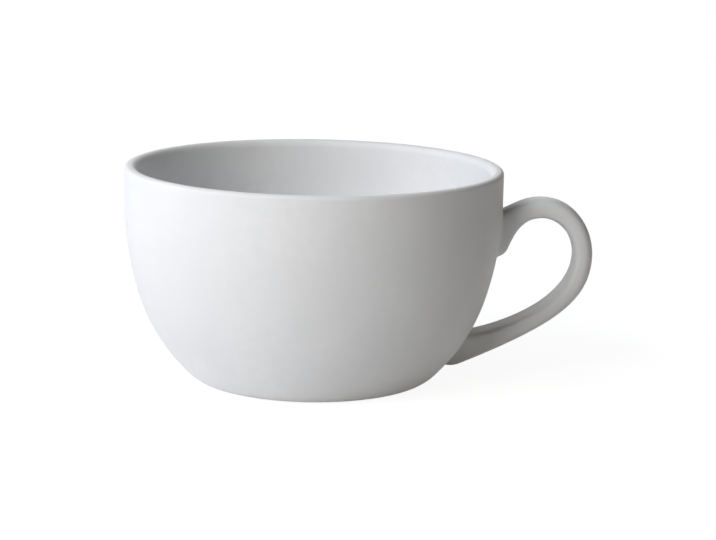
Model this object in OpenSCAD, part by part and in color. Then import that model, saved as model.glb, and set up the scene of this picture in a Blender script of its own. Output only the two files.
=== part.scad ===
// Latte bowl: a wide white stoneware cup with one ear-shaped handle.
// The clay bowl and the clay handle are formed apart, luted together with
// slip at two roots, and then coated with glaze everywhere but the foot ring.
// The origin is on the table, in the middle of the foot ring.
// +Z is up and the handle points along +X.

/* [Bowl] */
// Diameter across the glazed rim
rim_d = 120; // [104:1:140]
// Height of the glazed rim above the table
bowl_h = 68; // [64:0.5:84]
// Height of the upright band under the rim
upright_h = 11; // [5:0.5:18]
// Thickness of the clay wall at the rim
wall_t = 3.6; // [3:0.1:5]
// Radius of the lip's outer edge
lip_out_r = 1.1; // [0.6:0.1:1.3]
// Width of the flat on top of the lip
lip_flat_w = 0.6; // [0.2:0.1:0.8]
// Height over which the lip rounds in to the inside
lip_in_h = 2.2; // [1.5:0.1:3]
// Height of the clay floor above the table
floor_h = 5.6; // [4.8:0.1:7]
// Diameter of the flat of the floor
floor_d = 63; // [48:1:66]
// Radius of the turn from the floor up into the wall
floor_turn_r = 8; // [5:0.5:12]

/* [Foot] */
// Diameter of the ring that stands on the table
foot_d = 67; // [58:0.5:74]
// Width of the bare ring
foot_ring_w = 4; // [2:0.25:6]
// Depth of the hollow inside the ring
hollow_h = 2; // [1:0.1:2.6]
// Radius of the turn from the foot up into the wall
foot_turn_r = 10; // [7:0.5:13]

/* [Handle] */
// Thickness of the clay strap between finger and outside
strap_t = 5.5; // [4:0.1:7.5]
// Width of the clay strap from front to back
strap_w = 11.6; // [9:0.1:15]
// Width of the clay strap where it meets the bowl
root_w = 13; // [10:0.1:17]
// Distance of the crown outside the rim
crown_out = 12.7; // [8:0.1:18]
// Height of the crown above the table
crown_h = 58.4; // [54:0.1:66]
// Distance of the outermost point outside the rim
reach_out = 29; // [22:0.1:38]
// Height of the outermost point above the table
reach_h = 40.4; // [34:0.1:46]
// Height of the top of the upper root
upper_root_top = 54.2; // [52:0.1:58]
// Height of the toe of the upper root
upper_root_low = 39.7; // [36:0.1:44]
// Height of the top of the lower root
lower_root_top = 14.1; // [12:0.1:20]
// Height of the toe of the lower root
lower_root_low = 4.3; // [3.6:0.1:7]
// Height over which a toe rounds in to the wall
toe_h = 3; // [1.5:0.1:4]
// Thickness of the upper root where its toe begins
upper_toe_t = 3; // [2:0.1:4]
// Thickness of the lower root where its toe begins
lower_toe_t = 4.1; // [3:0.1:5]

/* [Slip and glaze] */
// Thickness of the slip between a root and the wall
slip_t = 0.5; // [0.2:0.05:1]
// Thickness of the glaze
glaze_t = 0.3; // [0.15:0.05:0.5]
// Height of bare clay above the table
bare_h = 0.5; // [0.2:0.05:1]

/* [Hidden] */

$fn = 180;

// Slope of the wall where a turn hands over to the belly
turn_angle = 45;
// Turn of the lip's tight inner arc from its flat, before the wide arc takes over
lip_turn_angle = 60;
// Directions of the handle's outlines at the wall, above the level
upper_top_angle = 24;
upper_toe_angle = 65;
lower_top_angle = 10;
lower_toe_angle = 24;
// Pull of each outline at the start and the end of a stretch, of its chord
upper_out_shares = [0.39, 0.39];
upper_in_shares = [0.27, 0.49];
crown_out_shares = [0.45, 0.34];
crown_in_shares = [0.31, 0.42];
lower_out_shares = [0.29, 0.55];
lower_in_shares = [0.36, 0.27];
root_end_shares = [0.45, 0.25];
// Place of the strap's widest line between its inside and its outside
widest_share = 0.35;
// Roundness of the strap's section, from 1 for an ellipse towards 0 for a rectangle:
// at the upper root, where the handle reaches out most, and at the lower root
inside_round_shares = [0.6, 0.62, 0.5];
outside_round_shares = [0.55, 0.75, 0.68];
// Depth of a root inside the clay wall
root_sink = wall_t / 2;
// Stretches of rings along the handle, and points around a ring
root_rings = 7;
upper_rings = 9;
crown_rings = 12;
lower_rings = 16;
ring_points = 24;

// Clay sizes under the glaze
clay_r = rim_d / 2 - glaze_t;
clay_h = bowl_h - glaze_t;
inner_r = clay_r - wall_t;
lip_z = clay_h - lip_in_h;
lip_out_x = clay_r - lip_out_r;
lip_in_x = lip_out_x - lip_flat_w;
crest_x = lip_out_x - lip_flat_w / 2;
// Run of the wide arc that rounds the lip in to the inside, as a share of its rise
lip_lean_share = (1 - sin(lip_turn_angle)) / cos(lip_turn_angle);
// Radii of the tight arc beside the lip's flat, and of the wide arc under it
lip_tight_r = (lip_in_x - inner_r - lip_lean_share * lip_in_h)
  / (sin(lip_turn_angle) - lip_lean_share * (1 - cos(lip_turn_angle)));
lip_wide_r = (lip_in_h - lip_tight_r * (1 - cos(lip_turn_angle))) / cos(lip_turn_angle);
hollow_r = foot_d / 2 - foot_ring_w;

// Unit vector at an angle above the level
function aim(angle) = [cos(angle), sin(angle)];

// Wall forms. A form is a floor radius, a floor height, a turn radius, the
// centres and radii of the belly and shoulder arcs that lead on to the upright,
// and the point where those arcs meet, halfway between their end tangents.
function turn_end(floor_r, floor_z, turn_r) =
  [floor_r + turn_r * sin(turn_angle), floor_z + turn_r * (1 - cos(turn_angle))];
function tangent_length(span) =
  let (along = span * (aim(turn_angle) + aim(90)))
  let (bend = 2 * (1 - sin(turn_angle)))
  (sqrt(along * along + bend * (span * span)) - along) / bend;
function form(floor_r, floor_z, turn_r, wall_r, upright_z) =
  let (low = turn_end(floor_r, floor_z, turn_r))
  let (high = [wall_r, upright_z])
  let (reach = tangent_length(high - low))
  let (meet = (low + reach * aim(turn_angle) + high - reach * aim(90)) / 2)
  let (inward = aim(turn_angle + 90))
  let (belly_r = (meet - low) * (meet - low) / (2 * (meet - low) * inward))
  let (shoulder_r = (high - meet) * (high - meet) / (2 * (wall_r - meet[0])))
  let (belly_c = low + belly_r * inward)
  let (shoulder_c = [wall_r - shoulder_r, upright_z])
  [floor_r, floor_z, turn_r, belly_c, belly_r, shoulder_c, shoulder_r, meet];

outer_form = form(foot_d / 2, 0, foot_turn_r, clay_r, bowl_h - upright_h);
inner_form = form(floor_d / 2, floor_h, floor_turn_r, inner_r, bowl_h - upright_h);

// Height at which each arc of a form gives way to the next, grown outwards
function turn_top(f, grow) = f[1] + f[2] - (f[2] + grow) * cos(turn_angle);
function belly_top(f, grow) =
  let (out = (f[7] - f[3]) / f[4])
  f[3][1] + (f[4] + grow) * out[1];

// Radius of the clay wall outside at a height, and the wall's outward direction
function wall_r_at(z) =
  let (f = outer_form)
  z > f[5][1] ? clay_r
  : z > belly_top(f, 0) ? f[5][0] + sqrt(f[6] * f[6] - pow(z - f[5][1], 2))
  : z > turn_top(f, 0) ? f[3][0] + sqrt(f[4] * f[4] - pow(z - f[3][1], 2))
  : f[0] + sqrt(f[2] * f[2] - pow(z - f[1] - f[2], 2));
function wall_out_at(z) =
  let (f = outer_form)
  let (at = [wall_r_at(z), z])
  z > f[5][1] ? aim(0)
  : z > belly_top(f, 0) ? (at - f[5]) / f[6]
  : z > turn_top(f, 0) ? (at - f[3]) / f[4]
  : (at - [f[0], f[1] + f[2]]) / f[2];
function off_wall(z, distance) = [wall_r_at(z), z] + distance * wall_out_at(z);

// Handle outlines. A stretch is a cubic curve between two points with given
// directions, and each outline is a chain of stretches from root to root.
function pull(a, b, share) = share * norm(b - a);
function curve(a, dir_a, b, dir_b, shares, u) =
  let (near = a + pull(a, b, shares[0]) * dir_a)
  let (far = b - pull(a, b, shares[1]) * dir_b)
  pow(1 - u, 3) * a
  + 3 * pow(1 - u, 2) * u * near
  + 3 * (1 - u) * u * u * far
  + u * u * u * b;
function stretch(a, dir_a, b, dir_b, shares, rings) =
  [for (i = [0:rings - 1]) curve(a, dir_a, b, dir_b, shares, i / rings)];

crown_x = rim_d / 2 + crown_out;
reach_x = rim_d / 2 + reach_out;
crown_top = [crown_x, crown_h];
crown_in = [crown_x, crown_h - strap_t];
reach_top = [reach_x, reach_h];
reach_in = [reach_x - strap_t, reach_h];
upper_top = off_wall(upper_root_top, 0);
upper_toe = off_wall(upper_root_low + toe_h, upper_toe_t);
lower_top = off_wall(lower_root_top, 0);
lower_toe = off_wall(lower_root_low + toe_h, lower_toe_t);
upper_top_sunk = upper_top - root_sink * aim(upper_top_angle);
upper_toe_sunk = off_wall(upper_root_low, -root_sink);
lower_top_sunk = off_wall(lower_root_top, -root_sink);
lower_toe_sunk = off_wall(lower_root_low, -root_sink);

outside_line = concat(
  stretch(upper_top_sunk, aim(upper_top_angle), upper_top, aim(upper_top_angle),
    root_end_shares, root_rings),
  stretch(upper_top, aim(upper_top_angle), crown_top, aim(0), upper_out_shares, upper_rings),
  stretch(crown_top, aim(0), reach_top, aim(-90), crown_out_shares, crown_rings),
  stretch(reach_top, aim(-90), lower_toe, aim(180 + lower_toe_angle),
    lower_out_shares, lower_rings),
  stretch(lower_toe, aim(180 + lower_toe_angle), lower_toe_sunk,
    -wall_out_at(lower_root_low), [root_end_shares[1], root_end_shares[0]], root_rings),
  [lower_toe_sunk]
);
inside_line = concat(
  stretch(upper_toe_sunk, wall_out_at(upper_root_low), upper_toe, aim(upper_toe_angle),
    root_end_shares, root_rings),
  stretch(upper_toe, aim(upper_toe_angle), crown_in, aim(0), upper_in_shares, upper_rings),
  stretch(crown_in, aim(0), reach_in, aim(-90), crown_in_shares, crown_rings),
  stretch(reach_in, aim(-90), lower_top, aim(180 + lower_top_angle),
    lower_in_shares, lower_rings),
  stretch(lower_top, aim(180 + lower_top_angle), lower_top_sunk,
    -wall_out_at(lower_root_top), root_end_shares, root_rings),
  [lower_top_sunk]
);
ring_count = len(outside_line);
last_ring = ring_count - 1;
upper_end_ring = root_rings + upper_rings;
reach_ring = upper_end_ring + crown_rings;
lower_end_ring = last_ring - root_rings - upper_rings;

// Half the strap's width at a ring: it widens smoothly towards both roots
function to_root(i) = max(1 - i / upper_end_ring, 1 - (last_ring - i) / upper_end_ring, 0);
function half_width(i) = (strap_w + (root_w - strap_w) * pow(to_root(i), 2)) / 2;

// Roundness of one side of the strap at a ring, eased from the reach to a root
function round_share(i, shares) =
  let (away = min(abs(i - reach_ring) / crown_rings, 1))
  let (root_share = i < reach_ring ? shares[0] : shares[2])
  shares[1] + (root_share - shares[1]) * away * away * (3 - 2 * away);
function squared(v, share) = sign(v) * pow(abs(v), share);
// A ring of points around the strap, from the middle of its outside
function ring(i, grow) =
  let (across = outside_line[i] - inside_line[i])
  let (widest = inside_line[i] + widest_share * across)
  [
    for (k = [0:ring_points - 1])
    let (angle = 360 * k / ring_points)
    let (inside = cos(angle) < 0)
    let (share = round_share(i, inside ? inside_round_shares : outside_round_shares))
    let (thick = (inside ? widest_share : 1 - widest_share) * norm(across) + grow)
    let (at = widest + squared(cos(angle), share) * thick * across / norm(across))
    [at[0], squared(sin(angle), share) * (half_width(i) + grow), at[1]]
  ];

// Side faces between rings that follow each other in a list of points
function side_faces(from, bands, turned) = [
  for (i = [0:bands - 1])
  for (k = [0:ring_points - 1])
  let (next = (k + 1) % ring_points)
  let (a = from + i * ring_points + k)
  let (b = from + i * ring_points + next)
  let (c = b + ring_points)
  let (d = a + ring_points)
  for (t = turned ? [[a, c, b], [a, d, c]] : [[a, b, c], [a, c, d]])
  t
];
// Faces that fill a ring from its first point
function cap_faces(from, turned) = [
  for (k = [1:ring_points - 2])
  turned ? [from, from + k + 1, from + k] : [from, from + k, from + k + 1]
];
// Faces between a ring and the ring around it
function rim_faces(from, around, turned) = [
  for (k = [0:ring_points - 1])
  let (next = (k + 1) % ring_points)
  let (a = from + k)
  let (b = from + next)
  let (c = around + next)
  let (d = around + k)
  for (t = turned ? [[a, c, b], [a, d, c]] : [[a, b, c], [a, c, d]])
  t
];

// The strap between two of its rings, grown on all sides
module strap(first, last, grow) {
  bands = last - first;
  points = [for (i = [first:last]) each ring(i, grow)];
  faces = concat(
    side_faces(0, bands, false),
    cap_faces(0, true),
    cap_faces(bands * ring_points, false)
  );
  polyhedron(points, faces);
}

// The coat around the whole strap, open at both ends
module strap_coat(grow) {
  core = [for (i = [0:last_ring]) each ring(i, 0)];
  skin = [for (i = [0:last_ring]) each ring(i, grow)];
  size = len(core);
  faces = concat(
    side_faces(size, last_ring, false),
    side_faces(0, last_ring, true),
    rim_faces(0, size, false),
    rim_faces(last_ring * ring_points, size + last_ring * ring_points, true)
  );
  polyhedron(concat(core, skin), faces);
}

// A level slice of the half plane, from the axis out to a radius
module slice(radius, from, to) {
  translate([0, from])
    square([radius, to - from]);
}

// Half section of a form up to a height, grown outwards
module form_section(f, wall_r, top, grow) {
  r = wall_r + grow;
  turn_z = turn_top(f, grow);
  belly_z = belly_top(f, grow);
  upright_z = f[5][1];
  slice(f[0], f[1] - grow, turn_z);
  intersection() {
    translate([f[0], f[1] + f[2]])
      circle(f[2] + grow);
    translate([f[0], f[1] - grow])
      square([r - f[0], turn_z - f[1] + grow]);
  }
  intersection() {
    translate(f[3])
      circle(f[4] + grow);
    slice(r, turn_z, belly_z);
  }
  intersection() {
    translate(f[5])
      circle(f[6] + grow);
    slice(r, belly_z, upright_z);
  }
  slice(r, upright_z, top);
}

// Half section of the lip, grown on all sides: the wide and the tight arc
// inside, the part under the flat, and the outer edge
module lip_section(grow) {
  join_z = clay_h - lip_tight_r + (lip_tight_r + grow) * cos(lip_turn_angle);
  edge_z = clay_h - lip_out_r;
  intersection() {
    translate([inner_r + lip_wide_r, lip_z])
      circle(lip_wide_r + grow);
    translate([inner_r - grow, lip_z])
      square([lip_out_x - inner_r + grow, join_z - lip_z]);
  }
  intersection() {
    translate([lip_in_x, clay_h - lip_tight_r])
      circle(lip_tight_r + grow);
    translate([inner_r - grow, join_z])
      square([lip_in_x - inner_r + grow, clay_h + grow - join_z]);
  }
  translate([lip_in_x, join_z])
    square([lip_flat_w, clay_h + grow - join_z]);
  intersection() {
    translate([lip_out_x, edge_z])
      circle(lip_out_r + grow);
    translate([lip_out_x, edge_z])
      square(lip_out_r + grow);
  }
  translate([lip_out_x, lip_z])
    square([lip_out_r + grow, edge_z - lip_z]);
}

// Half section of the glaze over the lip, outside or inside the crest
module lip_glaze_section(outside) {
  intersection() {
    difference() {
      lip_section(glaze_t);
      lip_section(0);
    }
    translate([outside ? crest_x : crest_x - wall_t, lip_z])
      square([wall_t, lip_in_h + glaze_t]);
  }
}

// Half section of the hollow under the foot, drawn in on all sides
module hollow_section(inset) {
  slice(hollow_r - hollow_h, 0, hollow_h - inset);
  intersection() {
    translate([hollow_r - hollow_h, 0])
      circle(hollow_h - inset);
    translate([hollow_r - hollow_h, 0])
      square(hollow_h);
  }
}

// The solid inside the bowl's clay wall, grown outwards, to cut roots by
module wall_solid(grow) {
  rotate_extrude()
    form_section(outer_form, clay_r, lip_z, grow);
}

module bowl() {
  color("linen")
    rotate_extrude() {
      difference() {
        form_section(outer_form, clay_r, lip_z, 0);
        form_section(inner_form, inner_r, lip_z, 0);
        hollow_section(0);
      }
      lip_section(0);
    }
}

module handle() {
  color("seashell")
    difference() {
      strap(0, last_ring, 0);
      wall_solid(slip_t);
    }
}

module root_slip(first, last) {
  difference() {
    intersection() {
      strap(first, last, 0);
      wall_solid(slip_t);
    }
    wall_solid(0);
  }
}

module upper_joint() {
  color("oldlace")
    root_slip(0, upper_end_ring);
}

module lower_joint() {
  color("oldlace")
    root_slip(lower_end_ring, last_ring);
}

module inside_glaze() {
  color("whitesmoke")
    rotate_extrude() {
      difference() {
        form_section(inner_form, inner_r, lip_z, 0);
        form_section(inner_form, inner_r, lip_z, -glaze_t);
      }
      lip_glaze_section(false);
    }
}

module outside_glaze() {
  color("whitesmoke")
    difference() {
      rotate_extrude() {
        difference() {
          form_section(outer_form, clay_r, lip_z, glaze_t);
          form_section(outer_form, clay_r, lip_z, 0);
          slice(rim_d, -glaze_t, bare_h);
        }
        lip_glaze_section(true);
      }
      strap(0, upper_end_ring, glaze_t);
      strap(lower_end_ring, last_ring, glaze_t);
    }
}

module handle_glaze() {
  color("whitesmoke")
    difference() {
      strap_coat(glaze_t);
      wall_solid(0);
    }
}

module underside_glaze() {
  color("whitesmoke")
    rotate_extrude()
      difference() {
        hollow_section(0);
        hollow_section(glaze_t);
        slice(foot_d, 0, bare_h);
      }
}

bowl();
handle();
upper_joint();
lower_joint();
inside_glaze();
outside_glaze();
handle_glaze();
underside_glaze();
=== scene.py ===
"""Satin white latte bowl: glaze coats over turned clay, with a luted strap handle."""
import logging
import math
from collections.abc import Callable, Sequence
from dataclasses import dataclass
from enum import Enum
from functools import cached_property

import bmesh
import bpy
from mathutils import Matrix, Vector


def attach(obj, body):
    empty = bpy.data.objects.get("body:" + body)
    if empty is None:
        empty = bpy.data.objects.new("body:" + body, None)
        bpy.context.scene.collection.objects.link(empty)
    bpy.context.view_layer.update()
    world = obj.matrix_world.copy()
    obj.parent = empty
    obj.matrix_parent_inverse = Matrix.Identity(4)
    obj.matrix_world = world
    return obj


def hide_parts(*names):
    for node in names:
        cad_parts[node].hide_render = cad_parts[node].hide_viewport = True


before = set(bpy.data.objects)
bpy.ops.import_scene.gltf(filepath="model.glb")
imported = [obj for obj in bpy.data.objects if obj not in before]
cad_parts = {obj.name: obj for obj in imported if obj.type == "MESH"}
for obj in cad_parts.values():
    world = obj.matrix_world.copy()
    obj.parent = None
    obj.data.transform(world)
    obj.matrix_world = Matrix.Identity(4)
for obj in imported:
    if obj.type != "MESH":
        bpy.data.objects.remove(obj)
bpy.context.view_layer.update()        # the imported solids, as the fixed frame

log = logging.getLogger("latte_bowl")

MM = 0.001
BODY = "root"

# Width of the photograph in pixels, and of the camera's frame in millimetres
PHOTO_WIDTH = 716
SENSOR_WIDTH = 36.0

# Steps around a turned piece, and along the arcs and corners of its half section
WHEEL_STEPS = 192
ARC_CHORD = 1.4
ARC_FEWEST = 8
CORNER_STEPS = 6

# Distance under which points are one, and angle under which faces look smooth
MERGE_DISTANCE = 0.002 * MM
SMOOTH_ANGLE = math.radians(50)

# Halvings of a range, and the step that finds a direction on the strap
HALVINGS = 40
SMALL_STEP = 1e-3

# Sockets of a Mix node for colours: share, first colour, second colour and result
MIX_SHARE, MIX_FIRST, MIX_SECOND, MIX_RESULT = 0, 6, 7, 2

Point = tuple[float, float]
Span = tuple[float, float]
Colour = tuple[float, float, float]
Place = tuple[float, float, float]
Piece = bpy.types.Object
Socket = bpy.types.NodeSocket
Tree = bpy.types.NodeTree


class Slot(Enum):
    """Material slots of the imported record."""

    CLAY = "clay"
    GLAZE = "glaze"


# Hand tools

def deselect() -> None:
    """Leave nothing selected, in object mode."""
    if bpy.context.object and bpy.context.object.mode != "OBJECT":
        bpy.ops.object.mode_set(mode="OBJECT")
    bpy.ops.object.select_all(action="DESELECT")


def heading(angle: float) -> Vector:
    """Unit vector at an angle above the level, in degrees."""
    return Vector((math.cos(math.radians(angle)), math.sin(math.radians(angle))))


def bisect(value: Callable[[float], float], low: float, high: float) -> float:
    """Where a value changes sign between two places.

    Args:
        value: The value at a place, under 0 at low and over 0 at high.
        low: First place.
        high: Last place.

    Returns:
        The place.
    """
    for _ in range(HALVINGS):
        middle = (low + high) / 2
        if value(middle) < 0:
            low = middle
        else:
            high = middle
    return (low + high) / 2


def arc(centre: Point, radius: float, start: float, end: float) -> list[Point]:
    """Points along an arc of a half section.

    Args:
        centre: Radius and height of the arc's centre, in millimetres.
        radius: Radius of the arc, in millimetres.
        start: Angle of the first point above the level, in degrees.
        end: Angle of the last point above the level, in degrees.

    Returns:
        The points, ends included.
    """
    sweep = math.radians(end - start)
    count = max(ARC_FEWEST, math.ceil(abs(sweep) * radius / ARC_CHORD))
    angles = [math.radians(start) + sweep * i / count for i in range(count + 1)]
    return [(centre[0] + radius * math.cos(a), centre[1] + radius * math.sin(a)) for a in angles]


def corner_shares(u: float) -> tuple[float, float, float]:
    """Shares of a start, a corner and an end in a point that rounds the corner."""
    return (1 - u) ** 2, 2 * u * (1 - u), u * u


def soft_corner(start: Point, corner: Point, end: Point) -> list[Point]:
    """Points that round a corner of a half section.

    Args:
        start: Point before the corner, in millimetres.
        corner: The sharp corner that is rounded off.
        end: Point after the corner.

    Returns:
        The points, ends included.
    """
    axes = list(zip(start, corner, end))
    shares = [corner_shares(i / CORNER_STEPS) for i in range(CORNER_STEPS + 1)]
    return [tuple(a * p + b * q + c * r for p, q, r in axes) for a, b, c in shares]


def throw(name: str, section: Sequence[Point]) -> Piece:
    """Turn a half section about the upright axis, as on a wheel.

    Args:
        name: Name of the new piece.
        section: Radii and heights in millimetres, from the axis or around a closed loop.

    Returns:
        The turned piece, smooth and closed.
    """
    deselect()
    bpy.ops.mesh.primitive_plane_add(size=MM)
    piece = bpy.context.object
    piece.name = piece.data.name = name
    bpy.ops.object.mode_set(mode="EDIT")
    bpy.ops.mesh.select_all(action="SELECT")
    bpy.ops.mesh.merge(type="CENTER")
    here = Vector((section[0][0] * MM, 0, section[0][1] * MM))
    bpy.ops.transform.translate(value=here)
    for radius, height in section[1:]:
        there = Vector((radius * MM, 0, height * MM))
        bpy.ops.mesh.extrude_region_move(TRANSFORM_OT_translate={"value": there - here})
        here = there
    bpy.ops.mesh.select_all(action="SELECT")
    bpy.ops.mesh.spin(steps=WHEEL_STEPS, angle=math.tau, center=(0, 0, 0), axis=(0, 0, 1))
    bpy.ops.mesh.select_all(action="SELECT")
    bpy.ops.mesh.remove_doubles(threshold=MERGE_DISTANCE)
    bpy.ops.mesh.normals_make_consistent(inside=False)
    bpy.ops.object.mode_set(mode="OBJECT")
    bpy.ops.object.shade_smooth_by_angle(angle=SMOOTH_ANGLE)
    return piece


def apply_modifier(piece: Piece, kind: str, **settings: object) -> None:
    """Add a modifier to the active piece and apply it.

    Args:
        piece: The piece, alone selected and active.
        kind: Blender's name of the modifier's kind.
        settings: Values of the modifier.
    """
    modifier = piece.modifiers.new(kind.title(), kind)
    for key, value in settings.items():
        setattr(modifier, key, value)
    bpy.ops.object.modifier_apply(modifier=modifier.name)


def enter(piece: Piece, slot: Slot, *nodes: str) -> None:
    """Put a piece on the frame's body and say what it stands for.

    Args:
        piece: The finished piece.
        slot: Slot of the record that gives its finish; not used.
        nodes: Solids that it replaces.
    """
    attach(piece, BODY)
    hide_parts(*nodes)
    faces = len(piece.data.polygons)
    log.info("%s: %d faces, stands for %s", piece.name, faces, ", ".join(nodes))


# Finishes

@dataclass(frozen=True)
class Pattern:
    """A noise over a piece, and how it is read.

    Attributes:
        scale: Waves to the metre.
        detail: Number of finer octaves.
        roughness: Weight of the finer octaves.
        source: Range of the noise that counts.
        target: Range of the values that it gives.
        smooth: Whether the values ease at the ends of their range.
    """

    scale: float
    detail: float
    roughness: float = 0.5
    source: Span = (0.3, 0.7)
    target: Span = (0.0, 1.0)
    smooth: bool = False


class Shader:
    """A node material under construction, with one Principled shader."""

    def __init__(self, name: str) -> None:
        """Start an empty material.

        Args:
            name: Name of the finish.
        """
        self.material = bpy.data.materials.new(name)
        self.material.use_nodes = True
        self.tree = self.material.node_tree
        self.principled = self.tree.nodes["Principled BSDF"]
        self.coords = self.node("ShaderNodeTexCoord").outputs["Object"]

    def node(self, kind: str, **settings: object) -> bpy.types.Node:
        """Add a node.

        Args:
            kind: Blender's name of the node's kind.
            settings: Attributes of the node.

        Returns:
            The node.
        """
        made = self.tree.nodes.new(kind)
        for key, value in settings.items():
            setattr(made, key, value)
        return made

    def link(self, output: Socket, node: bpy.types.Node, socket: str | int) -> None:
        """Join an output to a socket of a node."""
        self.tree.links.new(output, node.inputs[socket])

    def noise(self, pattern: Pattern) -> Socket:
        """The bare noise of a pattern.

        Args:
            pattern: The pattern.

        Returns:
            The noise, about 0.5.
        """
        made = self.node("ShaderNodeTexNoise")
        made.inputs["Scale"].default_value = pattern.scale
        made.inputs["Detail"].default_value = pattern.detail
        made.inputs["Roughness"].default_value = pattern.roughness
        self.link(self.coords, made, "Vector")
        return made.outputs["Fac"]

    def read(self, pattern: Pattern, noise: Socket) -> Socket:
        """The values that a pattern gives for its noise."""
        return self.remap(noise, pattern.source, pattern.target, pattern.smooth)

    def remap(self, value: Socket, source: Span, target: Span, smooth: bool = False) -> Socket:
        """A value moved from one range to another and held at its ends.

        Args:
            value: The value.
            source: Range that it comes from.
            target: Range that it goes to.
            smooth: Whether it eases at the ends.

        Returns:
            The new value.
        """
        made = self.node("ShaderNodeMapRange")
        made.interpolation_type = "SMOOTHSTEP" if smooth else "LINEAR"
        sockets = ("From Min", "From Max", "To Min", "To Max")
        for socket, number in zip(sockets, (*source, *target)):
            made.inputs[socket].default_value = number
        self.link(value, made, "Value")
        return made.outputs["Result"]

    def blend(self, share: Socket, first: Colour | Socket, second: Colour | Socket) -> Socket:
        """A colour between two.

        Args:
            share: Share of the second colour.
            first: A colour, or a socket that gives one.
            second: A colour, or a socket that gives one.

        Returns:
            The mixed colour.
        """
        made = self.node("ShaderNodeMix", data_type="RGBA")
        self.link(share, made, MIX_SHARE)
        for socket, colour in ((MIX_FIRST, first), (MIX_SECOND, second)):
            if isinstance(colour, Socket):
                self.link(colour, made, socket)
            else:
                made.inputs[socket].default_value = (*colour, 1)
        return made.outputs[MIX_RESULT]

    def times(self, first: Socket, second: Socket) -> Socket:
        """The product of two values.

        Args:
            first: A value.
            second: A value.

        Returns:
            The product.
        """
        made = self.node("ShaderNodeMath", operation="MULTIPLY")
        self.link(first, made, 0)
        self.link(second, made, 1)
        return made.outputs[0]

    def height(self) -> Socket:
        """Height above the table.

        Returns:
            The height, in metres.
        """
        made = self.node("ShaderNodeSeparateXYZ")
        self.link(self.coords, made, 0)
        return made.outputs["Z"]

    def relief(self, *waves: tuple[Socket, float]) -> None:
        """Give the surface a fine relief.

        Args:
            waves: Heights from 0 to 1, each with its depth in metres.
        """
        normal = None
        for value, depth in waves:
            made = self.node("ShaderNodeBump")
            made.inputs["Strength"].default_value = 1
            made.inputs["Distance"].default_value = depth
            self.link(value, made, "Height")
            if normal:
                self.link(normal, made, "Normal")
            normal = made.outputs["Normal"]
        self.link(normal, self.principled, "Normal")

    def fix(self, **values: object) -> None:
        """Set constant values on the shader's own sockets.

        Args:
            values: Values by socket name, with low lines for blanks.
        """
        for key, value in values.items():
            self.principled.inputs[key.replace("_", " ")].default_value = value


@dataclass(frozen=True)
class SatinGlaze:
    """White satin glaze: softly uneven, faintly pitted, thinner over the lip.

    Attributes:
        full: Colour where the glaze is thick.
        thin: Colour where it is thin.
        lip: Colour where the clay shows through on the lip.
        speck: Colour of the specks of iron.
        cloud: Where the glaze is thick and thin.
        mottle: Fine mottle of its thickness.
        lip_heights: Heights between which the lip's colour comes in, in metres.
        lip_share: Share of the lip's colour at the top.
        wave: Waviness of the surface.
        wave_depth: Depth of the waviness, in metres.
        pitting: Fine pits, which also give the roughness.
        pitting_depth: Depth of the pits, in metres.
        speck_cells: Places for a speck to the metre.
        speck_edge: Radii between which a speck fades, as shares of its cell.
        speck_share: Share of the speck's colour in its middle.
        speck_pick: Range of the chance that lets a speck show.
        ior: Index of refraction.
        specular: Level of the reflection.
    """

    name: str = "satin_white_glaze"
    full: Colour = (0.838, 0.842, 0.848)
    thin: Colour = (0.80, 0.805, 0.81)
    lip: Colour = (0.82, 0.81, 0.79)
    speck: Colour = (0.62, 0.59, 0.54)
    cloud: Pattern = Pattern(38, 3, source=(0.32, 0.68), smooth=True)
    mottle: Pattern = Pattern(320, 2, source=(0.35, 0.65), target=(0.0, 0.45), smooth=True)
    lip_heights: Span = (67.3 * MM, 68.0 * MM)
    lip_share: float = 0.6
    wave: Pattern = Pattern(95, 1)
    wave_depth: float = 0.05 * MM
    pitting: Pattern = Pattern(1500, 3, roughness=0.6, target=(0.48, 0.58))
    pitting_depth: float = 0.006 * MM
    speck_cells: float = 210
    speck_edge: Span = (0.02, 0.045)
    speck_share: float = 0.5
    speck_pick: Span = (0.62, 0.9)
    ior: float = 1.5
    specular: float = 0.08

    def material(self) -> bpy.types.Material:
        """Make the finish.

        Returns:
            The material.
        """
        shader = Shader(self.name)
        cloud = shader.read(self.cloud, shader.noise(self.cloud))
        mottle = shader.read(self.mottle, shader.noise(self.mottle))
        colour = shader.blend(mottle, shader.blend(cloud, self.full, self.thin), self.thin)
        lip = shader.remap(shader.height(), self.lip_heights, (0, self.lip_share), smooth=True)
        colour = shader.blend(lip, colour, self.lip)
        colour = shader.blend(self.specks(shader), colour, self.speck)
        shader.link(colour, shader.principled, "Base Color")
        pits = shader.noise(self.pitting)
        shader.link(shader.read(self.pitting, pits), shader.principled, "Roughness")
        shader.relief((shader.noise(self.wave), self.wave_depth), (pits, self.pitting_depth))
        shader.fix(IOR=self.ior, Specular_IOR_Level=self.specular)
        return shader.material

    def specks(self, shader: Shader) -> Socket:
        """Sparse pinpricks of iron under the glaze.

        Args:
            shader: The material that they belong to.

        Returns:
            Their share, near 0 almost everywhere.
        """
        cells = shader.node("ShaderNodeTexVoronoi")
        cells.inputs["Scale"].default_value = self.speck_cells
        shader.link(shader.coords, cells, "Vector")
        dot = shader.remap(cells.outputs["Distance"], self.speck_edge, (self.speck_share, 0),
                           smooth=True)
        chance = shader.node("ShaderNodeSeparateColor")
        shader.link(cells.outputs["Color"], chance, 0)
        return shader.times(dot, shader.remap(chance.outputs[0], self.speck_pick, (0, 1)))


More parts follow.
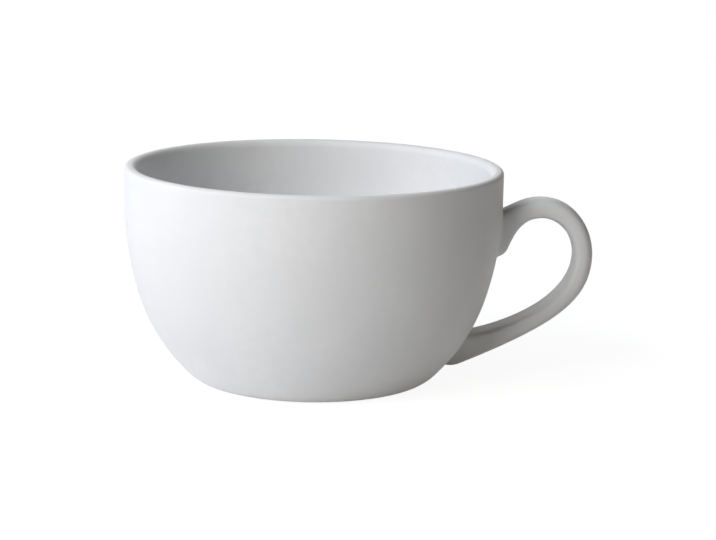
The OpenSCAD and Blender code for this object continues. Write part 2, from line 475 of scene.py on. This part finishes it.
@dataclass(frozen=True)
class FiredClay:
    """Bare fired stoneware: warm, dry and finely grained.

    Attributes:
        pale: Lighter colour of the clay.
        deep: Darker colour of the clay.
        grit: Colour of the coarse grains.
        cloud: Where the clay is lighter and darker.
        grain: Fine grain, which also gives the roughness.
        grain_depth: Depth of the grain, in metres.
        grit_pick: Range of the grain in which grit comes in.
        grit_share: Share of the grit's colour where it shows most.
        specular: Level of the reflection.
    """

    name: str
    pale: Colour = (0.79, 0.75, 0.69)
    deep: Colour = (0.75, 0.7, 0.63)
    grit: Colour = (0.5, 0.44, 0.36)
    cloud: Pattern = Pattern(160, 4, roughness=0.6)
    grain: Pattern = Pattern(2600, 3, roughness=0.7, target=(0.78, 0.92))
    grain_depth: float = 0.05 * MM
    grit_pick: Span = (0.66, 0.74)
    grit_share: float = 0.55
    specular: float = 0.25

    def material(self) -> bpy.types.Material:
        """Make the finish.

        Returns:
            The material.
        """
        shader = Shader(self.name)
        cloud = shader.read(self.cloud, shader.noise(self.cloud))
        colour = shader.blend(cloud, self.pale, self.deep)
        grain = shader.noise(self.grain)
        grit = shader.remap(grain, self.grit_pick, (0, self.grit_share), smooth=True)
        shader.link(shader.blend(grit, colour, self.grit), shader.principled, "Base Color")
        shader.link(shader.read(self.grain, grain), shader.principled, "Roughness")
        shader.relief((grain, self.grain_depth))
        shader.fix(Specular_IOR_Level=self.specular)
        return shader.material


def seen_directly(tree: Tree) -> Socket:
    """Whether a ray comes from the camera, a gloss or a clear body.

    Args:
        tree: Node tree of a stage material or of the world.

    Returns:
        1 for such a ray and 0 for others.
    """
    path = tree.nodes.new("ShaderNodeLightPath")
    share = path.outputs["Is Camera Ray"]
    for name in ("Is Glossy Ray", "Is Transmission Ray"):
        larger = tree.nodes.new("ShaderNodeMath")
        larger.operation = "MAXIMUM"
        tree.links.new(share, larger.inputs[0])
        tree.links.new(path.outputs[name], larger.inputs[1])
        share = larger.outputs[0]
    return share


def plain(tree: Tree, kind: str, colour: Colour) -> Socket:
    """A shader of one colour.

    Args:
        tree: Node tree of a stage material or of the world.
        kind: Blender's name of the shader's kind.
        colour: The colour.

    Returns:
        The shader.
    """
    made = tree.nodes.new(kind)
    made.inputs["Color"].default_value = (*colour, 1)
    return made.outputs[0]


def by_ray(tree: Tree, lights: Socket, shows: Socket) -> Socket:
    """A shader that lights the bowl in one way and shows itself in another.

    Args:
        tree: Node tree of a stage material or of the world.
        lights: Shader for the light that falls on the bowl.
        shows: Shader for what is seen directly.

    Returns:
        The joined shader.
    """
    pick = tree.nodes.new("ShaderNodeMixShader")
    for socket, source in enumerate((seen_directly(tree), lights, shows)):
        tree.links.new(source, pick.inputs[socket])
    return pick.outputs[0]


@dataclass(frozen=True)
class PaleFloor:
    """White studio floor that keeps the bowl's shadow.

    Attributes:
        pale: Colour that throws light up at the bowl.
        seen: Colour that takes the shadow where the floor is seen.
        lift: Strength of the white that is added where it is seen.
    """

    name: str = "studio_floor"
    pale: Colour = (0.86, 0.86, 0.86)
    seen: Colour = (0.24, 0.24, 0.24)
    lift: float = 0.915

    def material(self) -> bpy.types.Material:
        """Make the finish.

        Returns:
            The material.
        """
        material = bpy.data.materials.new(self.name)
        material.use_nodes = True
        tree = material.node_tree
        tree.nodes.clear()
        out = tree.nodes.new("ShaderNodeOutputMaterial")
        lift = tree.nodes.new("ShaderNodeEmission")
        lift.inputs["Strength"].default_value = self.lift
        both = tree.nodes.new("ShaderNodeAddShader")
        tree.links.new(plain(tree, "ShaderNodeBsdfDiffuse", self.seen), both.inputs[0])
        tree.links.new(lift.outputs[0], both.inputs[1])
        pale = plain(tree, "ShaderNodeBsdfDiffuse", self.pale)
        tree.links.new(by_ray(tree, pale, both.outputs[0]), out.inputs["Surface"])
        return material


# Bowl

@dataclass(frozen=True)
class WallForm:
    """Half section of a turned wall: floor, turn, belly, shoulder, upright, in millimetres.

    Attributes:
        floor_r: Radius of the flat floor.
        floor_z: Height of the floor.
        turn_r: Radius of the turn from the floor to the belly.
        wall_r: Radius of the upright wall.
        upright_z: Height where the wall becomes upright.
        turn_angle: Slope at the end of the turn, in degrees.
    """

    floor_r: float
    floor_z: float
    turn_r: float
    wall_r: float
    upright_z: float
    turn_angle: float = 45.0

    @cached_property
    def arcs(self) -> list[tuple[Vector, float, float, float]]:
        """The turn, the belly and the shoulder, which run into each other smoothly.

        Returns:
            Centre, radius, first angle and last angle of each.
        """
        slope = math.radians(self.turn_angle)
        aim = Vector((math.cos(slope), math.sin(slope)))
        inward = Vector((-aim.y, aim.x))
        up = Vector((0, 1))
        turn_c = Vector((self.floor_r, self.floor_z + self.turn_r))
        low = turn_c - self.turn_r * inward
        high = Vector((self.wall_r, self.upright_z))
        span = high - low
        along = span.dot(aim + up)
        bend = 2 * (1 - aim.dot(up))
        reach = (math.sqrt(along * along + bend * span.dot(span)) - along) / bend
        meet = (low + reach * aim + high - reach * up) / 2
        belly_r = (meet - low).length_squared / (2 * (meet - low).dot(inward))
        belly_c = low + belly_r * inward
        shoulder_r = (high - meet).length_squared / (2 * (self.wall_r - meet.x))
        shoulder_c = Vector((self.wall_r - shoulder_r, self.upright_z))
        join = math.degrees(math.atan2(meet.y - belly_c.y, meet.x - belly_c.x))
        start = self.turn_angle - 90
        return [(turn_c, self.turn_r, -90, start), (belly_c, belly_r, start, join),
                (shoulder_c, shoulder_r, join, 0)]

    def section(self, top: float, grow: float) -> list[Point]:
        """The wall from the edge of the floor up to a height.

        Args:
            top: Height of the last point, in millimetres.
            grow: Distance outside the form.

        Returns:
            The points, from below.
        """
        points = []
        for centre, radius, start, end in self.arcs:
            points += arc(centre, radius + grow, start, end)[bool(points):]
        return points + [(self.wall_r + grow, top)]

    def wall(self, z: float, grow: float = 0) -> tuple[float, Vector]:
        """Radius and outward direction of the wall at a height.

        Args:
            z: Height above the table, in millimetres.
            grow: Distance outside the form.

        Returns:
            The radius, and the direction in the half section.
        """
        for centre, radius, _, end in self.arcs:
            full = radius + grow
            if z <= centre.y + full * math.sin(math.radians(end)):
                rise = z - centre.y
                run = math.sqrt(max(full * full - rise * rise, 0))
                return centre.x + run, Vector((run, rise)) / full
        return self.wall_r + grow, Vector((1, 0))


@dataclass
class TurnedBowl:
    """The clay bowl with its coats, in millimetres.

    Attributes:
        rim_d: Width over the glazed rim.
        bowl_h: Height of the glazed lip.
        upright_h: Height of the upright band, lip included.
        wall_t: Thickness of the clay wall.
        floor_h: Height of the clay floor inside.
        floor_d: Width of the flat floor inside.
        floor_turn_r: Radius of the turn from the floor to the wall inside.
        foot_d: Width over the foot ring.
        foot_ring_w: Width of the foot ring's face.
        hollow_h: Depth of the hollow under the foot.
        foot_turn_r: Radius of the turn from the foot to the wall outside.
        lip_out_r: Radius of the lip's outer edge.
        lip_flat_w: Width of the flat on the lip.
        lip_in_h: Height of the lip's rounding inside.
        lip_turn: Turn of the tight arc beside the flat, in degrees.
        glaze_t: Thickness of the glaze.
        bare_h: Height to which the foot is bare.
        foot_soft: Width of the softened edge inside the foot ring.
        clay: Finish of the clay.
        glaze: Finish of the coats.
    """

    rim_d: float = 120.0
    bowl_h: float = 68.0
    upright_h: float = 11.0
    wall_t: float = 3.6
    floor_h: float = 5.6
    floor_d: float = 63.0
    floor_turn_r: float = 8.0
    foot_d: float = 67.0
    foot_ring_w: float = 4.0
    hollow_h: float = 2.0
    foot_turn_r: float = 10.0
    lip_out_r: float = 1.1
    lip_flat_w: float = 0.6
    lip_in_h: float = 2.2
    lip_turn: float = 60.0
    glaze_t: float = 0.3
    bare_h: float = 0.5
    foot_soft: float = 0.6
    clay: FiredClay = FiredClay("fired_clay")
    glaze: SatinGlaze = SatinGlaze()

    @cached_property
    def outer(self) -> WallForm:
        """Form of the clay wall outside."""
        return WallForm(self.foot_d / 2, 0, self.foot_turn_r, self.rim_d / 2 - self.glaze_t,
                        self.bowl_h - self.upright_h)

    @cached_property
    def inner(self) -> WallForm:
        """Form of the clay wall inside."""
        return WallForm(self.floor_d / 2, self.floor_h, self.floor_turn_r,
                        self.outer.wall_r - self.wall_t, self.outer.upright_z)

    @cached_property
    def lip_arcs(self) -> list[tuple[Point, float, float, float]]:
        """The arcs of the clay lip, from inside to outside.

        Returns:
            Centre, radius, first angle and last angle of each.
        """
        top = self.bowl_h - self.glaze_t
        crest = self.outer.wall_r - self.lip_out_r
        across = self.wall_t - self.lip_out_r - self.lip_flat_w
        sine = math.sin(math.radians(self.lip_turn))
        cosine = math.cos(math.radians(self.lip_turn))
        lean = (1 - sine) / cosine
        near = (across - lean * self.lip_in_h) / (sine - lean * (1 - cosine))
        far = (self.lip_in_h - near * (1 - cosine)) / cosine
        join = 90 + self.lip_turn
        return [((self.inner.wall_r + far, top - self.lip_in_h), far, 180, join),
                ((crest - self.lip_flat_w, top - near), near, join, 90),
                ((crest, top - self.lip_out_r), self.lip_out_r, 90, 0)]

    @property
    def hollow_r(self) -> float:
        """Radius of the hollow under the foot."""
        return self.foot_d / 2 - self.foot_ring_w

    def wall_section(self, grow: float) -> list[Point]:
        """The whole wall from the middle of the floor over the lip to the foot.

        Args:
            grow: Thickness of the coat on it.

        Returns:
            The points, from inside to outside.
        """
        over = []
        for number, (centre, radius, start, end) in enumerate(self.lip_arcs):
            over += arc(centre, radius + grow, start, end)[number == 1:]
        inside = self.inner.section(over[0][1], -grow)
        outside = self.outer.section(over[-1][1], grow)
        return [(0, self.floor_h + grow)] + inside[:-1] + over + outside[-2::-1]

    def hollow_section(self, inset: float) -> list[Point]:
        """The hollow under the foot, from its edge in to the middle.

        Args:
            inset: Thickness of the coat in it.

        Returns:
            The points.
        """
        centre = (self.hollow_r - self.hollow_h, 0)
        radius = self.hollow_h - inset
        first = math.degrees(math.asin(self.bare_h / radius))
        return arc(centre, radius, first, 90) + [(0, radius)]

    def clay_section(self) -> list[Point]:
        """The clay, with the edge of its foot ring softened.

        Returns:
            The points, from the floor inside to the hollow.
        """
        hollow = self.hollow_section(0)
        edge = soft_corner((self.hollow_r + self.foot_soft, 0), (self.hollow_r, 0), hollow[0])
        return self.wall_section(0) + edge + hollow[1:]

    def coat_section(self) -> list[Point]:
        """The glaze inside and outside, with a rounded edge above the bare foot.

        Returns:
            The points of its face, and then back along the clay.
        """
        edge_z = self.bare_h + self.glaze_t
        skin, core = (
            [p for p in self.wall_section(grow) if p[1] > edge_z or p[0] < self.floor_d / 2]
            for grow in (self.glaze_t, 0)
        )
        top = (self.outer.wall(edge_z, self.glaze_t)[0], edge_z)
        end = (self.outer.wall(self.bare_h)[0], self.bare_h)
        corner = (self.outer.wall(self.bare_h, self.glaze_t)[0], self.bare_h)
        return skin + soft_corner(top, corner, end) + core[::-1]

    def hollow_coat_section(self) -> list[Point]:
        """The glaze in the hollow under the foot, with a rounded edge.

        Returns:
            The points of its face, and then back along the clay.
        """
        skin = self.hollow_section(self.glaze_t)
        core = self.hollow_section(0)
        corner = (skin[0][0] + self.glaze_t / 2, skin[0][1] - self.glaze_t / 2)
        return skin[:0:-1] + soft_corner(skin[1], corner, core[0]) + core[1:]

    def build(self) -> None:
        """Turn the clay and its coats, dress them and put them on the frame."""
        clay = throw("turned_bowl", self.clay_section())
        coat = throw("bowl_coat", self.coat_section())
        hollow = throw("hollow_coat", self.hollow_coat_section())
        self.dress(clay, coat, hollow)
        enter(clay, Slot.CLAY, "bowl")
        enter(coat, Slot.GLAZE, "inside_glaze", "outside_glaze")
        enter(hollow, Slot.GLAZE, "underside_glaze")

    def dress(self, clay: Piece, *coats: Piece) -> None:
        """Give the pieces their finishes.

        Args:
            clay: The turned bowl.
            coats: The coats of glaze.
        """
        clay.data.materials.append(self.clay.material())
        glaze = self.glaze.material()
        for coat in coats:
            coat.data.materials.append(glaze)


# Handle

@dataclass(frozen=True)
class Stretch:
    """A cubic curve between two points with given directions, in millimetres and degrees.

    Attributes:
        start: First point.
        start_angle: Direction at the first point.
        end: Last point.
        end_angle: Direction at the last point.
        shares: Reach of each end's direction, as shares of the chord.
        rings: Number of rings of the strap along it.
    """

    start: Vector
    start_angle: float
    end: Vector
    end_angle: float
    shares: Span
    rings: int

    def at(self, u: float) -> Vector:
        """The point at a share of the stretch.

        Args:
            u: Share from 0 to 1.

        Returns:
            The point in the handle's plane.
        """
        chord = (self.end - self.start).length
        near = self.start + self.shares[0] * chord * heading(self.start_angle)
        far = self.end - self.shares[1] * chord * heading(self.end_angle)
        v = 1 - u
        return v ** 3 * self.start + 3 * v * v * u * near + 3 * v * u * u * far + u ** 3 * self.end


@dataclass
class LutedHandle:
    """The coated strap handle, in millimetres and degrees.

    Attributes:
        bowl: The bowl that it is luted to.
        strap_t: Thickness of the clay strap at the crown and at its reach.
        strap_w: Width of the clay strap from front to back.
        root_w: Its width at the roots.
        crown: Distance from the axis and height of the highest point.
        reach: Distance from the axis and height of the outermost point.
        upper_root: Heights of the upper root's top and toe on the wall.
        lower_root: The same for the lower root.
        toe_h: Height of each toe's free end above its root.
        upper_toe_t: Distance of the upper toe's free end from the wall.
        lower_toe_t: The same for the lower toe.
        upper_angles: Rise of the strap's top and of its toe at the upper root.
        lower_angles: Fall of the strap's top and of its toe at the lower root.
        root_shares: Shares of the stretches that leave a root.
        toe_shares: Shares of the stretch that turns into the lower toe.
        outer_shares: Shares of the free stretches outside.
        inner_shares: The same for those inside.
        stretch_rings: Rings along each stretch, from the upper root to the lower.
        widest: Place of the section's widest line, from 0 inside to 1 outside.
        inside_round: Roundness inside, at the upper root, the reach and the lower root.
        outside_round: Roundness outside, at the same places.
        fillet: Size of the fillet of glaze around each root.
        fillet_sink: Depth of the fillet's edge under the wall's glaze.
        fillet_rings: Rings along a fillet.
        strap_rings: Rings along the strap between the fillets.
        ring_points: Points around a ring.
        clay: Finish of the clay strap.
        slip: Finish of the slip in the joints.
    """

    bowl: TurnedBowl
    strap_t: float = 5.5
    strap_w: float = 11.6
    root_w: float = 13.0
    crown: Point = (72.7, 58.4)
    reach: Point = (89.0, 40.4)
    upper_root: Span = (54.2, 39.7)
    lower_root: Span = (14.1, 4.3)
    toe_h: float = 3.0
    upper_toe_t: float = 3.0
    lower_toe_t: float = 4.1
    upper_angles: Span = (24.0, 65.0)
    lower_angles: Span = (10.0, 24.0)
    root_shares: Span = (0.45, 0.25)
    toe_shares: Span = (0.25, 0.45)
    outer_shares: tuple[Span, Span, Span] = ((0.39, 0.39), (0.45, 0.34), (0.29, 0.55))
    inner_shares: tuple[Span, Span, Span] = ((0.27, 0.49), (0.31, 0.42), (0.36, 0.27))
    stretch_rings: tuple[int, int, int, int, int] = (7, 9, 12, 16, 7)
    widest: float = 0.35
    inside_round: tuple[float, float, float] = (0.6, 0.62, 0.5)
    outside_round: tuple[float, float, float] = (0.55, 0.75, 0.68)
    fillet: float = 1.0
    fillet_sink: float = 0.03
    fillet_rings: int = 8
    strap_rings: int = 200
    ring_points: int = 72
    clay: FiredClay = FiredClay("handle_clay")
    slip: FiredClay = FiredClay("luting_slip", (0.81, 0.78, 0.73), (0.77, 0.73, 0.67))

    def off_wall(self, z: float, distance: float) -> tuple[Vector, float]:
        """A point off the clay wall, with the wall's outward angle there.

        Args:
            z: Height of the wall's point.
            distance: Distance outside it.

        Returns:
            The point, and the angle in degrees.
        """
        radius, out = self.bowl.outer.wall(z)
        return Vector((radius, z)) + distance * out, math.degrees(math.atan2(out.y, out.x))

    @cached_property
    def lines(self) -> tuple[list[Stretch], list[Stretch]]:
        """The outlines of the clay strap, whose ends are sunk in the wall.

        Returns:
            The stretches outside and inside, from the upper root to the lower.
        """
        sink = self.bowl.wall_t / 2
        upper_up, upper_toe_up = self.upper_angles
        lower_in, lower_toe_in = (180 + a for a in self.lower_angles)
        crown, reach = Vector(self.crown), Vector(self.reach)
        crown_in = crown - Vector((0, self.strap_t))
        reach_in = reach - Vector((self.strap_t, 0))
        upper_top = self.off_wall(self.upper_root[0], 0)[0]
        upper_top_sunk = upper_top - sink * heading(upper_up)
        upper_toe = self.off_wall(self.upper_root[1] + self.toe_h, self.upper_toe_t)[0]
        upper_toe_sunk, upper_out = self.off_wall(self.upper_root[1], -sink)
        lower_top = self.off_wall(self.lower_root[0], 0)[0]
        lower_top_sunk, lower_out = self.off_wall(self.lower_root[0], -sink)
        lower_toe = self.off_wall(self.lower_root[1] + self.toe_h, self.lower_toe_t)[0]
        lower_toe_sunk, lower_toe_out = self.off_wall(self.lower_root[1], -sink)
        outside = [(upper_top_sunk, upper_up), (upper_top, upper_up), (crown, 0), (reach, -90),
                   (lower_toe, lower_toe_in), (lower_toe_sunk, lower_toe_out + 180)]
        inside = [(upper_toe_sunk, upper_out), (upper_toe, upper_toe_up), (crown_in, 0),
                  (reach_in, -90), (lower_top, lower_in), (lower_top_sunk, lower_out + 180)]
        return (self.chain(outside, (self.root_shares, *self.outer_shares, self.toe_shares)),
                self.chain(inside, (self.root_shares, *self.inner_shares, self.root_shares)))

    def chain(self, stops: Sequence[tuple[Vector, float]], shares: Sequence[Span]) -> list[Stretch]:
        """Stretches from stop to stop of an outline.

        Args:
            stops: Points of the outline, each with its direction.
            shares: Shares of each stretch.

        Returns:
            The stretches, in order.
        """
        pairs = zip(stops, stops[1:], shares, self.stretch_rings)
        return [Stretch(*start, *end, share, rings) for start, end, share, rings in pairs]

    @property
    def last(self) -> float:
        """Place of the last ring along the strap."""
        return float(sum(self.stretch_rings))

    def along(self, line: Sequence[Stretch], place: float) -> Vector:
        """The point of an outline at a place along the strap.

        Args:
            line: One of the two outlines.
            place: Place counted in rings.

        Returns:
            The point in the handle's plane.
        """
        for stretch in line[:-1]:
            if place <= stretch.rings:
                break
            place -= stretch.rings
        else:
            stretch = line[-1]
        return stretch.at(place / stretch.rings)

    def half_width(self, place: float) -> float:
        """Half the clay strap's width, which grows towards both roots.

        Args:
            place: Place along the strap, counted in rings.

        Returns:
            The half width.
        """
        root = sum(self.stretch_rings[:2])
        near = max(1 - place / root, 1 - (self.last - place) / root, 0)
        return (self.strap_w + (self.root_w - self.strap_w) * near ** 2) / 2

    def roundness(self, place: float, inside: bool) -> float:
        """Roundness of the strap's section, from 1 for an ellipse towards 0 for a rectangle.

        Args:
            place: Place along the strap, counted in rings.
            inside: Whether it is the half towards the finger.

        Returns:
            The roundness, which is greatest where the handle reaches out most.
        """
        reach = sum(self.stretch_rings[:3])
        away = min(abs(place - reach) / self.stretch_rings[2], 1)
        upper, at_reach, lower = self.inside_round if inside else self.outside_round
        at_root = upper if place < reach else lower
        return at_reach + (at_root - at_reach) * away * away * (3 - 2 * away)

    def skin(self, turn: float, place: float) -> Vector:
        """A point of the coat's outer face.

        Args:
            turn: Angle around the section, from its outside, in radians.
            place: Place along the strap, counted in rings.

        Returns:
            The point in the frame, in millimetres.
        """
        outside, inside = (self.along(line, place) for line in self.lines)
        within = math.cos(turn) < 0
        across = outside - inside
        thick = (self.widest if within else 1 - self.widest) * across.length + self.bowl.glaze_t
        bend = self.roundness(place, within)
        c, s = (math.copysign(abs(v) ** bend, v) for v in (math.cos(turn), math.sin(turn)))
        at = inside + self.widest * across + c * thick * across.normalized()
        return Vector((at.x, s * (self.half_width(place) + self.bowl.glaze_t), at.y))

    def clearance(self, point: Vector) -> float:
        """Distance of a point outside the bowl's glazed wall, along the level."""
        return point.xy.length - self.bowl.outer.wall(point.z, self.bowl.glaze_t)[0]

    def strand(self, turn: float) -> list[Vector]:
        """One line along the coat, from the wall at the upper root to the wall at the lower.

        Args:
            turn: Angle around the section, in radians.

        Returns:
            The points: a fillet off the wall, the strap, and a fillet back to the wall.
        """
        middle = self.last / 2
        ends = []
        fillets = []
        for sunk in (0.0, self.last):
            foot = bisect(lambda p: self.clearance(self.skin(turn, p)), sunk, middle)
            corner = self.skin(turn, foot)
            free = bisect(lambda p: (self.skin(turn, p) - corner).length - self.fillet,
                          foot, middle)
            start = self.landing(turn, foot)
            end = self.skin(turn, free)
            shares = [corner_shares(i / self.fillet_rings) for i in range(self.fillet_rings)]
            fillets.append([a * start + b * corner + c * end for a, b, c in shares])
            ends.append(free)
        step = (ends[1] - ends[0]) / self.strap_rings
        strap = [self.skin(turn, ends[0] + step * i) for i in range(self.strap_rings + 1)]
        return fillets[0] + strap + fillets[1][::-1]

    def landing(self, turn: float, foot: float) -> Vector:
        """Where the fillet of a strand runs out on the wall.

        Args:
            turn: Angle around the section, in radians.
            foot: Place where the strand meets the wall.

        Returns:
            The point, just under the glazed wall.
        """
        corner = self.skin(turn, foot)
        across = self.skin(turn + SMALL_STEP, foot) - self.skin(turn - SMALL_STEP, foot)
        ahead = self.skin(turn, foot + SMALL_STEP) - self.skin(turn, foot - SMALL_STEP)
        off = across.cross(ahead)
        middle = (self.skin(0, foot) + self.skin(math.pi, foot)) / 2
        if off.dot(corner - middle) < 0:
            off.negate()
        out = self.bowl.outer.wall(corner.z, self.bowl.glaze_t)[1]
        level = Vector((corner.x, corner.y, 0)).normalized()
        wall_out = level * out.x + Vector((0, 0, out.y))
        away = (off - off.dot(wall_out) * wall_out).normalized()
        spot = corner + self.fillet * away
        radius = self.bowl.outer.wall(spot.z, self.bowl.glaze_t)[0] - self.fillet_sink
        level = spot.xy.normalized() * radius
        return Vector((level.x, level.y, spot.z))

    def build(self) -> None:
        """Draw the coat along the strap, dress the handle and put it on the frame."""
        # Strands stand half a step off the section's own axes
        strands = [self.strand(math.tau * (k + 0.5) / self.ring_points)
                   for k in range(self.ring_points)]
        coat = self.draw_tube("handle_coat", strands)
        apply_modifier(coat, "SOLIDIFY", thickness=self.bowl.glaze_t * MM, offset=-1, use_rim=True)
        bpy.ops.object.shade_smooth_by_angle(angle=SMOOTH_ANGLE)
        self.dress(coat)
        enter(coat, Slot.GLAZE, "handle_glaze")

    def draw_tube(self, name: str, strands: Sequence[Sequence[Vector]]) -> Piece:
        """Stretch an open tube over the strands.

        Args:
            name: Name of the new piece.
            strands: Lines along the tube, in millimetres and in order around it.

        Returns:
            The tube, selected and active.
        """
        rings = len(strands[0])
        depth = 1.0
        deselect()
        bpy.ops.mesh.primitive_cylinder_add(vertices=len(strands), radius=1, depth=depth,
                                            end_fill_type="NOTHING")
        tube = bpy.context.object
        tube.name = tube.data.name = name
        bpy.ops.object.mode_set(mode="EDIT")
        bpy.ops.mesh.select_all(action="DESELECT")
        mesh = bmesh.from_edit_mesh(tube.data)
        for edge in mesh.edges:
            edge.select_set(abs(edge.verts[0].co.z - edge.verts[1].co.z) > depth / 2)
        bmesh.update_edit_mesh(tube.data)
        bpy.ops.mesh.subdivide(number_cuts=rings - 2)
        bpy.ops.object.mode_set(mode="OBJECT")
        for vertex in tube.data.vertices:
            turn = math.atan2(vertex.co.y, vertex.co.x) / math.tau * len(strands)
            ring = round((vertex.co.z + depth / 2) * (rings - 1))
            vertex.co = strands[round(turn) % len(strands)][ring] * MM
        bpy.ops.object.mode_set(mode="EDIT")
        bpy.ops.mesh.select_all(action="SELECT")
        bpy.ops.mesh.normals_make_consistent(inside=False)
        bpy.ops.object.mode_set(mode="OBJECT")
        return tube

    def dress(self, coat: Piece) -> None:
        """Give the coat and the solids under it their finishes.

        Args:
            coat: The coat of glaze.
        """
        coat.data.materials.append(bpy.data.materials[self.bowl.glaze.name])
        clay, slip = self.clay.material(), self.slip.material()
        for node, material in (("handle", clay), ("upper_joint", slip), ("lower_joint", slip)):
            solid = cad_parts[node]
            solid.data.materials.clear()
            solid.data.materials.append(material)
            log.info("%s: stays as the packed solid, in %s", node, material.name)


# Studio

@dataclass(frozen=True)
class Softbox:
    """A square lamp with a soft face, in metres and watts."""

    name: str
    place: Place
    size: float
    power: float
    colour: Colour

    def hang(self, target: Vector) -> None:
        """Put the lamp in the studio.

        Args:
            target: The point that it faces.
        """
        bpy.ops.object.light_add(type="AREA", location=self.place)
        lamp = bpy.context.object
        lamp.name = self.name
        lamp.data.size = self.size
        lamp.data.energy = self.power
        lamp.data.color = self.colour
        lamp.rotation_euler = (target - Vector(self.place)).to_track_quat("-Z", "Y").to_euler()


@dataclass
class Studio:
    """Floor, lamps, surroundings and camera.

    Attributes:
        floor_size: Side of the floor, in metres.
        floor: Finish of the floor.
        ambient: Light of the surroundings, which the lamps stand in for.
        backdrop: Colour of the surroundings where they are seen.
        lamps: The lamps, with places in metres.
        target: The point that the lamps face.
        focal_px: The camera's focal length, in pixels of the photograph.
        distance: Its distance in front of the axis, in millimetres.
        height: Its height above the table, in millimetres.
        yaw: Its turn to the right, in radians.
        pitch: Its tilt downwards, in radians.
        roll: Its turn about its view, in radians.
        nearest: Shortest distance that it sees, in metres.
    """

    floor_size: float = 2.2
    floor: PaleFloor = PaleFloor()
    ambient: Colour = (0.0, 0.0, 0.0)
    backdrop: Colour = (1.0, 1.0, 1.0)
    lamps: Sequence[Softbox] = (
        Softbox("key_softbox", place=(-0.637, -0.637, 0.666), size=0.8, power=8.45,
                colour=(1.0, 0.985, 0.965)),
        Softbox("left_softbox", place=(-0.901, 0.0, 0.666), size=0.8, power=4.2,
                colour=(0.79, 0.85, 1.0)),
        Softbox("top_softbox", place=(-0.447, 0.258, 1.006), size=0.8, power=2.0,
                colour=(0.82, 0.93, 1.0)),
        Softbox("rear_softbox", place=(0.0, 1.089, 0.188), size=0.62, power=1.95,
                colour=(1.0, 0.92, 0.9)),
        Softbox("right_softbox", place=(0.943, -0.545, 0.188), size=0.62, power=0.88,
                colour=(1.0, 0.86, 0.62)),
        Softbox("front_softbox", place=(-0.770, -0.770, 0.188), size=0.62, power=1.6,
                colour=(1.0, 0.98, 0.985)),
    )
    target: Place = (0.0, 0.0, 0.035)
    focal_px: float = 1960.376
    distance: float = 614.829
    height: float = 162.752
    yaw: float = 0.02354
    pitch: float = 0.20603
    roll: float = 0.02054
    nearest: float = 0.01

    def build(self) -> None:
        """Lay the floor, hang the lamps, make the surroundings and set the camera."""
        deselect()
        bpy.ops.mesh.primitive_plane_add(size=self.floor_size)
        floor = bpy.context.object
        floor.name = "studio_floor"
        floor.data.materials.append(self.floor.material())
        for lamp in self.lamps:
            lamp.hang(Vector(self.target))
        self.surround()
        self.set_camera()

    def surround(self) -> None:
        """Make the surroundings white to the eye, with no light of their own."""
        world = bpy.data.worlds.new("studio")
        world.use_nodes = True
        tree = world.node_tree
        tree.nodes.clear()
        out = tree.nodes.new("ShaderNodeOutputWorld")
        dark = plain(tree, "ShaderNodeBackground", self.ambient)
        white = plain(tree, "ShaderNodeBackground", self.backdrop)
        tree.links.new(by_ray(tree, dark, white), out.inputs["Surface"])
        bpy.context.scene.world = world

    def set_camera(self) -> None:
        """Set the camera where the photograph was taken from."""
        ahead = Vector((math.sin(self.yaw) * math.cos(self.pitch),
                        math.cos(self.yaw) * math.cos(self.pitch), -math.sin(self.pitch)))
        right = ahead.cross(Vector((0, 0, 1))).normalized()
        up = right.cross(ahead)
        turned_right = math.cos(self.roll) * right + math.sin(self.roll) * up
        turned_up = -math.sin(self.roll) * right + math.cos(self.roll) * up
        deselect()
        bpy.ops.object.camera_add()
        camera = bpy.context.object
        camera.data.sensor_fit = "HORIZONTAL"
        camera.data.sensor_width = SENSOR_WIDTH
        camera.data.lens = self.focal_px * SENSOR_WIDTH / PHOTO_WIDTH
        camera.data.clip_start = self.nearest
        place = Matrix((turned_right, turned_up, -ahead)).transposed().to_4x4()
        place.translation = Vector((0, -self.distance * MM, self.height * MM))
        camera.matrix_world = place
        bpy.context.scene.camera = camera


def main() -> None:
    """Build the bowl, the handle and the studio in order."""
    logging.basicConfig(level=logging.INFO, format="%(name)s: %(message)s")
    bpy.context.scene.view_settings.view_transform = "Standard"
    bowl = TurnedBowl()
    bowl.build()
    LutedHandle(bowl).build()
    Studio().build()


if __name__ == "__main__":
    main()
